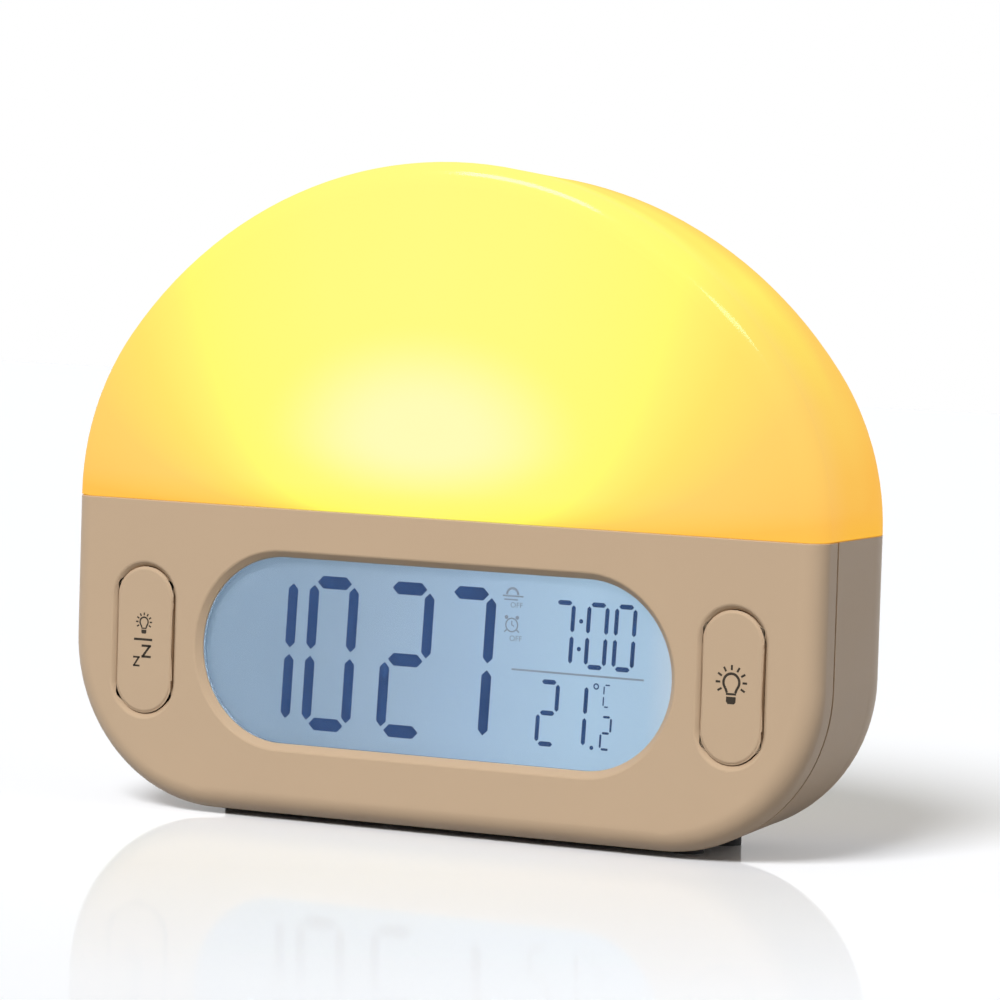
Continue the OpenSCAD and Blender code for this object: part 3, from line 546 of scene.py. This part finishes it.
def addDisplayMark(name, draw, material):
    work = bmesh.new()
    draw(work)
    return markPiece(name, work, displayValues["markY"], "case", material,
                     displayValues["markDepth"])


def drawTime(work):
    for digit, left in displayValues["big"]["left"].items():
        drawDigit(work, digit, left, displayValues["big"], displayValues["slant"])


def drawAlarmTime(work):
    for digit, left in displayValues["alarm"]["left"]:
        drawDigit(work, digit, left, displayValues["alarm"], displayValues["slant"])
    for middle in ((34.32, 47.54), (33.98, 41.74)):  # colon
        drawDisc(work, middle, 0.47)


def drawWarmth(work):
    for group in ("warmth", "tenth"):
        for digit, left in displayValues[group]["left"]:
            drawDigit(work, digit, left, displayValues[group], displayValues["slant"])
    drawDisc(work, (37.65, 21.44), 0.45)  # decimal point
    drawArc(work, (38.33, 34.27), 0.52, 0.3, 0, 360)  # degree sign, then the four bars of its C
    for start, end in (((40.46, 34.69), (41.56, 34.69)), ((40.21, 34.44), (40.16, 32.74)),
                       ((40.12, 32.24), (40.06, 30.34)), ((40.26, 30.14), (41.26, 30.14))):
        drawBar(work, start, end, 0.3, 0.1)


def drawIcons(work):
    # Rising lamp, switched off
    drawArc(work, (17.96, 52.04), 1.33, 0.5, 0, 180)
    drawBar(work, (15.63, 51.74), (20.53, 51.74), 0.35)
    drawBar(work, (16.03, 50.99), (19.23, 50.99), 0.3)
    drawWord(work, "OFF", (18.98, 49.89), 1.1, 2.9)
    # Alarm clock with two bells, feet and hands, switched off
    drawArc(work, (17.96, 45.67), 1.4, 0.3, 0, 360)
    for middle in ((16.66, 47.27), (19.23, 47.27)):
        drawDisc(work, middle, 0.42)
    for start, end in (((16.83, 44.69), (16.23, 44.14)), ((19.13, 44.69), (19.73, 44.19))):
        drawBar(work, start, end, 0.3)
    for end in ((17.96, 46.54), (18.53, 45.44)):
        drawBar(work, (17.96, 45.67), end, 0.25)
    drawWord(work, "OFF", (18.98, 42.89), 1.2, 2.9)
    # Line between the alarm's time and the warmth of the room
    drawBar(work, (18.24, 36.44), (49.37, 36.34), 0.4)


addDisplayMark("timeDigits", drawTime, digitInk)
addDisplayMark("alarmDigits", drawAlarmTime, digitInk)
addDisplayMark("warmthDigits", drawWarmth, digitInk)
addDisplayMark("displayIcons", drawIcons, faintInk)
print("display drawn")


# Marks on the front buttons
buttonMarkValues = {
    "ink": "#39322A",
    "y": -23.85,  # mm, face of the caps
    "depth": 0.02,
    "light": {"middle": (70.89, 37.69), "scale": 1.0, "stroke": 0.55},
    "snooze": {"middle": (-70.97, 40.45), "scale": 0.57, "stroke": 0.35},
}
# Pad printing ink: thin, matt, nearly black brown
padInk = makeFinish("dark pad printing ink", buttonMarkValues["ink"],
                    roughness=0.6, relief=0.001, mottle=0.03, specular=0.25)


def drawBulb(work, middle, scale, stroke):
    # Glass, neck, rim and cap of a lamp, with nine rays round it
    x, z = middle

    def at(dx, dz):
        return (x + dx * scale, z + dz * scale)

    drawArc(work, middle, 1.8 * scale, stroke, -42, 222)
    for side in (-1, 1):
        drawBar(work, at(side * 1.34, -1.2), at(side * 0.95, -2.15), stroke)
    drawBar(work, at(-1.15, -2.4), at(1.15, -2.4), stroke * 0.8)
    drawShape(work, [at(-1.1, -2.95), at(-1.1, -4.0), at(-0.75, -4.45), at(0.75, -4.45), at(1.1, -4.0),
                     at(1.1, -2.95)])
    for i in range(9):
        turn = math.radians(-30 + 30 * i)
        drawBar(work, at(2.52 * math.cos(turn), 2.52 * math.sin(turn)),
                at(3.58 * math.cos(turn), 3.58 * math.sin(turn)), 0.45 * max(scale, 0.75))


def drawLetterZ(work, x0, x1, z0, z1, stroke):
    drawBar(work, (x0, z1 - stroke / 2), (x1, z1 - stroke / 2), stroke)
    drawBar(work, (x0, z0 + stroke / 2), (x1, z0 + stroke / 2), stroke)
    drawBar(work, (x1 - stroke * 0.6, z1 - stroke / 2), (x0 + stroke * 0.6, z0 + stroke / 2), stroke)


def drawSleep(work):
    # A line under the bulb, then a large and a small letter z
    drawBar(work, (-73.44, 36.65), (-68.79, 36.65), 0.5)
    drawLetterZ(work, -71.44, -69.04, 32.7, 35.55, 0.5)
    drawLetterZ(work, -73.54, -71.84, 30.7, 32.95, 0.4)


for buttonName in ("light", "snooze"):
    work = bmesh.new()
    mark = buttonMarkValues[buttonName]
    drawBulb(work, mark["middle"], mark["scale"], mark["stroke"])
    if buttonName == "snooze":
        drawSleep(work)
    markPiece(buttonName + "Mark", work, buttonMarkValues["y"], buttonName + "_press", padInk,
              buttonMarkValues["depth"])

# Marks on the rear keys, and the cells' signs moulded in the bay
rearMarkValues = {
    "y": 23.8,  # mm, face of the key caps
    "columns": {"left": -1.5, "right": 13.5},  # mm, middles of the two columns
    "rows": (56, 46, 36),  # and of the three rows
    "stroke": 0.32,
    "bayFloor": 11.0,  # mm, y of the bay's floor
    "bayMiddle": (-39, 41.5),
    "signReach": 17.5,  # from the middle of the bay to a sign
    "signWidth": 2.8,
    "signStroke": 0.6,
    "signDepth": 0.15,
    "cellStep": 10.9,
}


def drawTalk(work, stroke):
    for start, end in (((-1.6, 1.3), (1.6, 1.3)), ((1.6, 1.3), (1.6, -0.5)), ((1.6, -0.5), (0, -0.5)),
                       ((0, -0.5), (-0.9, -1.4)), ((-0.9, -1.4), (-0.7, -0.5)), ((-0.7, -0.5), (-1.6, -0.5)),
                       ((-1.6, -0.5), (-1.6, 1.3))):
        drawBar(work, start, end, stroke)
    for x in (-0.8, 0, 0.8):
        drawDisc(work, (x, 0.4), 0.2, 16)


def drawBell(work, stroke):
    drawArc(work, (0, 0.3), 0.9, stroke, 0, 180)
    for side in (-1, 1):
        drawBar(work, (side * 0.9, 0.3), (side * 1.1, -0.7), stroke)
    drawBar(work, (-1.4, -0.75), (1.4, -0.75), stroke)
    drawDisc(work, (0, -1.25), 0.28, 16)


def drawClock(work, stroke):
    drawArc(work, (0, 0), 1.4, stroke, 0, 360)
    drawBar(work, (0, 0), (0, 0.9), stroke)
    drawBar(work, (0, 0), (0.65, -0.35), stroke)


def drawLoudness(work, stroke):
    drawShape(work, [(-1.7, -0.5), (-1.0, -0.5), (-0.2, -1.2), (-0.2, 1.2), (-1.0, 0.5), (-1.7, 0.5)])
    drawArc(work, (0, 0), 0.7, stroke, -50, 50)
    drawArc(work, (0, 0), 1.4, stroke, -50, 50)


def drawUp(work, stroke):
    drawShape(work, [(-1.2, -0.8), (1.2, -0.8), (0, 1.1)])


def drawDown(work, stroke):
    drawShape(work, [(-1.2, 0.8), (0, -1.1), (1.2, 0.8)])


keyMarks = {"talk": (drawTalk, "left", 0), "alarm": (drawBell, "right", 0), "set": (drawClock, "left", 1),
            "volume": (drawLoudness, "right", 1), "up": (drawUp, "left", 2), "down": (drawDown, "right", 2)}
for keyName, (draw, column, row) in keyMarks.items():
    work = bmesh.new()
    draw(work, rearMarkValues["stroke"])
    place = (rearMarkValues["columns"][column], rearMarkValues["rows"][row])
    markPiece(keyName + "Mark", work, rearMarkValues["y"], keyName + "_press", padInk,
              buttonMarkValues["depth"], rear=True, middle=place)

# Each row of the bay has a plus at the end with the raised contact and a minus at its spring
work = bmesh.new()
arm, stroke = rearMarkValues["signWidth"] / 2, rearMarkValues["signStroke"]
for row in (-1, 0, 1):
    plusSide = 1 if row == 0 else -1
    for side in (-1, 1):
        x, z = side * rearMarkValues["signReach"], row * rearMarkValues["cellStep"]
        drawBar(work, (x - arm, z), (x + arm, z), stroke)
        if side == plusSide:
            for way in (-1, 1):
                drawBar(work, (x, z + way * stroke / 2), (x, z + way * arm), stroke)
markPiece("baySigns", work, rearMarkValues["bayFloor"], "case", tanAbs,
          rearMarkValues["signDepth"], rear=True, middle=rearMarkValues["bayMiddle"])
print("marks printed")


# Finishes of the inner parts
# One finish for each real material; each node carried over from the frame takes one of them
innerFinishes = {
    # High impact polystyrene, glossy white so that it throws light forward
    "white polystyrene moulding": ("#EDEDE6", {"roughness": 0.35, "grain": 0.8, "relief": 0.003},
                                   ("reflector_deck", "lcd_holder")),
    # Aluminium-backed lamp board under white solder mask
    "white solder mask": ("#F0F0EA", {"roughness": 0.4, "grain": 0.4, "relief": 0.004}, ("led_board",)),
    # Phosphor over lamp dice: matt warm yellow
    "yellow lamp phosphor": ("#F2D45C", {"roughness": 0.7, "grain": 0.2, "relief": 0.01}, ("led_chips",)),
    # Cold headed steel, bright zinc plate with a faint blue
    "zinc plated steel": ("#B9BCC2", {"roughness": 0.3, "metallic": 1.0, "grain": 0.25, "relief": 0.002,
                                      "mottle": 0.06},
                          ("led_screws", "case_screws", "board_screws", "holder_screws", "key_screws")),
    # Nickel plated strip and wire: warmer than zinc, smooth from drawing
    "nickel plated spring steel": ("#C6C1B4", {"roughness": 0.22, "metallic": 1.0, "grain": 0.3,
                                               "relief": 0.001, "stretch": (1, 1, 6)},
                                   ("battery_contacts", "battery_springs", "usb_shell", "clock_crystal")),
    # Frosted acrylic sheet, edge lit
    "frosted acrylic": ("#DCE8EE", {"roughness": 0.55, "grain": 0.25, "relief": 0.004}, ("light_guide",)),
    # Clear epoxy of the display's lamps, smooth as glass, a cold white from the phosphor in it
    "blue white lamp resin": ("#CFE2F2", {"roughness": 0.3, "grain": 0.4, "relief": 0.001},
                              ("backlight_leds",)),
    # Layered conducting silicone, cut rather than moulded
    "layered pink silicone": ("#D99CA6", {"roughness": 0.65, "grain": 0.15, "relief": 0.01,
                                          "stretch": (8, 1, 1)}, ("zebra_strips",)),
    # Transfer moulded epoxy, matt black with a fine bite
    "black moulded epoxy": ("#232427", {"roughness": 0.6, "grain": 0.2, "relief": 0.006},
                            ("board_chips", "temp_sensor")),
    # Shrunk sleeve over aluminium cans
    "blue shrink sleeve": ("#2C3A63", {"roughness": 0.35, "grain": 0.5, "relief": 0.003, "coat": 0.2},
                           ("capacitors",)),
    # Natural nylon of wire housings, slightly waxy
    "natural nylon": ("#E6DFC9", {"roughness": 0.45, "grain": 0.4, "relief": 0.003}, ("board_sockets",)),
    # Glass filled nylon of switches: dark and dull
    "glass filled black nylon": ("#26262A", {"roughness": 0.55, "grain": 0.25, "relief": 0.008},
                                 ("front_switches", "key_switches", "usb_tongue")),
    # Moulded acetal: slick and even, with a soft highlight
    "red acetal": ("#B8402F", {"roughness": 0.3, "grain": 0.4, "relief": 0.002},
                   ("snooze_plunger", "light_plunger")),
    "white acetal": ("#E4E3DC", {"roughness": 0.3, "grain": 0.4, "relief": 0.002},
                     tuple(name + "_plunger" for name in keyNames)),
    # Pressed and black painted steel basket
    "black painted steel": ("#2B2B2E", {"roughness": 0.4, "grain": 0.5, "relief": 0.004}, ("speaker_frame",)),
    # Turned steel cup, zinc plated: greyer than the screws, with a broad shine
    "zinc plated magnet cup": ("#A9ABB0", {"roughness": 0.35, "metallic": 1.0, "grain": 0.4, "relief": 0.003},
                               ("speaker_magnet",)),
    # Pulp paper pressed into a cone: fibres catch the light
    "black pressed paper": ("#242427", {"roughness": 0.85, "grain": 0.45, "relief": 0.02, "sheen": 0.2},
                            ("speaker_cone",)),
    # Fine turns of copper under clear lacquer: an orange sheen that runs along them
    "enamelled copper wire": ("#B5693A", {"roughness": 0.25, "metallic": 1.0, "grain": 0.15, "relief": 0.01,
                                          "stretch": (1, 8, 1)}, ("speaker_coil",)),
    # Moulded rubber: dull, nearly black, a little paler where it is seen edge on
    "soft black rubber": ("#1D1D1F", {"roughness": 0.7, "grain": 0.4, "relief": 0.005, "sheen": 0.15},
                          ("speaker_surround", "feet")),
    # Cut foam: open pores make it the dullest of the black parts
    "black closed cell foam": ("#2A2A2C", {"roughness": 0.9, "grain": 0.5, "relief": 0.05, "sheen": 0.3},
                               ("speaker_gasket",)),
    # Extruded PVC round stranded wire: smooth and slightly waxy
    "red PVC insulation": ("#A8262A", {"roughness": 0.4, "grain": 0.3, "relief": 0.003},
                           ("speaker_lead", "battery_lead")),
    "grey PVC insulation": ("#C9C4BA", {"roughness": 0.4, "grain": 0.3, "relief": 0.003},
                            ("led_lead", "key_ribbon")),
}
for finishName, (colour, changes, members) in innerFinishes.items():
    finish = makeFinish(finishName, colour, **changes)
    for nodeName in members:
        dressNode(nodeName, finish)


def makeBoard():
    # Woven glass board under green solder mask: copper tracks show as paler lines
    material, tree, output, place = startMaterial("green solder mask on glass epoxy", "#1E5A35")
    turned = addNode(tree, "ShaderNodeMapping", {"Vector": place, "Rotation": (math.radians(90), 0, 0)})
    tracks = addNode(tree, "ShaderNodeTexBrick", {
        "Vector": turned.outputs["Vector"], "Scale": 1000.0, "Brick Width": 9.0, "Row Height": 1.2,
        "Mortar Size": 0.22, "Color1": linear("#1C5431"), "Color2": linear("#1F5D37"),
        "Mortar": linear("#2F7A4A")}, offset=0.37)
    weave = addNode(tree, "ShaderNodeTexNoise", {"Vector": place, "Scale": 1000 / 0.4, "Detail": 1.0})
    relief = addNode(tree, "ShaderNodeBump", {"Height": weave.outputs["Fac"], "Distance": 0.004 * mm})
    shader = addNode(tree, "ShaderNodeBsdfPrincipled", {
        "Base Color": tracks.outputs["Color"], "Roughness": 0.3, "IOR": 1.5,
        "Normal": relief.outputs["Normal"]})
    tree.links.new(shader.outputs["BSDF"], output.inputs["Surface"])
    return material


boardFinish = makeBoard()
for nodeName in ("main_board", "key_board"):
    dressNode(nodeName, boardFinish)
print("inner finishes set")


# Floor, world and lamps
studioValues = {
    "floor": 4.0,  # m across
    "bounce": 0.26,  # share of light that the floor gives back to the clock
    "shown": 1.2,  # the same share where the floor itself is seen
    "shownTint": "#F9FBFF",
    # share that is mirrored, by distance in front of the clock's middle, mm
    "mirror": [(80, 0.27), (183, 0.15), (231, 0.075), (440, 0.03)],
    "polish": 0.04,  # roughness of the floor's reflection
    "turn": -28.7,  # degrees that the sheet is turned against the clock
    "ambient": 0.19,
    # where each sun comes from, its power and its width in degrees. The fill stands low on the
    # right, so that it stays off the floor, and the rear one as low for the back
    "suns": {"keySun": ((0.03, -1.1, 1.0), 2.95, 24), "fillSun": ((1.0, -0.3, 0.05), 0.45, 30),
             "rearSun": ((-0.25, 1.0, 0.05), 1.4, 30)},
    # the two ends of each strip as seen from the dome's rim, its width and brightness
    "strips": {"leftStrip": ((-0.46, -0.34, 0.82), (-0.08, -0.39, 0.92), 0.3, 75),
               "rightStrip": ((0.2, -0.66, 0.63), (0.51, -0.39, 0.77), 0.12, 50)},
    "stripsRound": (0.02, -0.02, 0.1),  # m, the place that they are seen from
    "stripsAway": 0.9,  # m from there
}


def seenRays(tree, path):
    # 1 for the rays that show a thing: straight, mirrored or through clear plastic
    seen = addNode(tree, "ShaderNodeMath",
                   {0: path.outputs["Is Camera Ray"], 1: path.outputs["Is Glossy Ray"]},
                   operation="MAXIMUM")
    through = addNode(tree, "ShaderNodeMath", {0: seen.outputs[0], 1: path.outputs["Is Transmission Ray"]},
                      operation="MAXIMUM")
    return through.outputs[0]


def makeFloor(values):
    work = bmesh.new()
    bmesh.ops.create_grid(work, x_segments=1, y_segments=1, size=values["floor"] / 2)
    bmesh.ops.translate(work, verts=work.verts, vec=(0, 0, -0.02 * mm))  # a hair under the feet
    mesh = bpy.data.meshes.new("studioFloor")
    work.to_mesh(mesh)
    work.free()
    material, tree, output, place = startMaterial("satin white acrylic sheet", "#F4F4F2")
    path = addNode(tree, "ShaderNodeLightPath")
    given = (values["bounce"],) * 3 + (1,)
    shown = tuple(values["shown"] * c for c in linear(values["shownTint"])[:3]) + (1,)
    tone = addNode(tree, "ShaderNodeMix", {0: seenRays(tree, path), 6: given, 7: shown}, data_type="RGBA",
                   clamp_result=False)
    matt = addNode(tree, "ShaderNodeBsdfDiffuse", {"Color": tone.outputs[2]})
    gloss = addNode(tree, "ShaderNodeBsdfGlossy", {"Color": linear("#FFFFFF"), "Roughness": values["polish"]})
    # The sheet's polish dulls towards its front edge
    turned = addNode(tree, "ShaderNodeMapping",
                     {"Vector": place, "Rotation": (0, 0, math.radians(values["turn"]))})
    ahead = addNode(tree, "ShaderNodeSeparateXYZ", {0: turned.outputs["Vector"]})
    near, far = values["mirror"][0][0], values["mirror"][-1][0]
    fade = addNode(tree, "ShaderNodeMath",
                   {0: ahead.outputs["Y"], 1: -1000 / (far - near), 2: -near / (far - near)},
                   operation="MULTIPLY_ADD", use_clamp=True)
    polish = addNode(tree, "ShaderNodeValToRGB", {"Fac": fade.outputs[0]},
                     stops=[((d - near) / (far - near), (m, m, m, 1)) for d, m in values["mirror"]])
    mirror = addNode(tree, "ShaderNodeMath", {0: path.outputs["Is Camera Ray"], 1: polish.outputs["Color"]},
                     operation="MULTIPLY")
    both = addNode(tree, "ShaderNodeMixShader",
                   {0: mirror.outputs[0], 1: matt.outputs[0], 2: gloss.outputs[0]})
    tree.links.new(both.outputs[0], output.inputs["Surface"])
    mesh.materials.append(material)
    floor = bpy.data.objects.new("studioFloor", mesh)
    scene.collection.objects.link(floor)


def makeWorld(values):
    world = bpy.data.worlds.new("paleStudio")
    world.use_nodes = True
    scene.world = world
    tree = world.node_tree
    tree.nodes.clear()
    path = addNode(tree, "ShaderNodeLightPath")
    strength = addNode(tree, "ShaderNodeMix", {0: seenRays(tree, path), 2: values["ambient"], 3: 1.0},
                       data_type="FLOAT")
    background = addNode(tree, "ShaderNodeBackground",
                         {"Color": linear("#FFFFFF"), "Strength": strength.outputs[0]})
    output = addNode(tree, "ShaderNodeOutputWorld")
    tree.links.new(background.outputs[0], output.inputs["Surface"])


def aim(lamp, direction):
    lamp.rotation_euler = Vector(direction).to_track_quat("Z", "Y").to_euler()


def addSun(name, direction, power, width):
    data = bpy.data.lights.new(name, "SUN")
    data.energy = power
    data.angle = math.radians(width)
    lamp = bpy.data.objects.new(name, data)
    scene.collection.objects.link(lamp)
    aim(lamp, direction)
    # The strips below are what a glossy skin mirrors, as narrow streaks
    lamp.visible_glossy = False


def addStrip(name, start, end, width, brightness, middleOf, distance, receivers):
    # A narrow lamp that the dome's rounded rim mirrors as a streak between two directions.
    # It lights nothing but the dome
    start, end = Vector(start).normalized(), Vector(end).normalized()
    middle = (start + end) / 2
    data = bpy.data.lights.new(name, "AREA")
    data.shape = "RECTANGLE"
    data.size = (end - start).length * distance
    data.size_y = width * distance
    data.energy = brightness * math.pi * data.size * data.size_y  # as bright at any size
    lamp = bpy.data.objects.new(name, data)
    scene.collection.objects.link(lamp)
    axisX = (end - start).normalized()
    axisZ = middle.normalized()
    axisY = axisZ.cross(axisX).normalized()
    axisX = axisY.cross(axisZ)
    turn = Matrix((axisX, axisY, axisZ)).transposed().to_4x4()
    lamp.matrix_world = Matrix.Translation(Vector(middleOf) + axisZ * distance) @ turn
    lamp.visible_camera = False
    lamp.visible_diffuse = False
    lamp.light_linking.receiver_collection = receivers


makeFloor(studioValues)
makeWorld(studioValues)
for sunName, (direction, power, width) in studioValues["suns"].items():
    addSun(sunName, direction, power, width)
domeOnly = bpy.data.collections.new("domeOnly")
domeOnly.objects.link(nodes["diffuser_dome"])
for stripName, (start, end, width, brightness) in studioValues["strips"].items():
    addStrip(stripName, start, end, width, brightness, studioValues["stripsRound"],
             studioValues["stripsAway"], domeOnly)
print("studio lit")
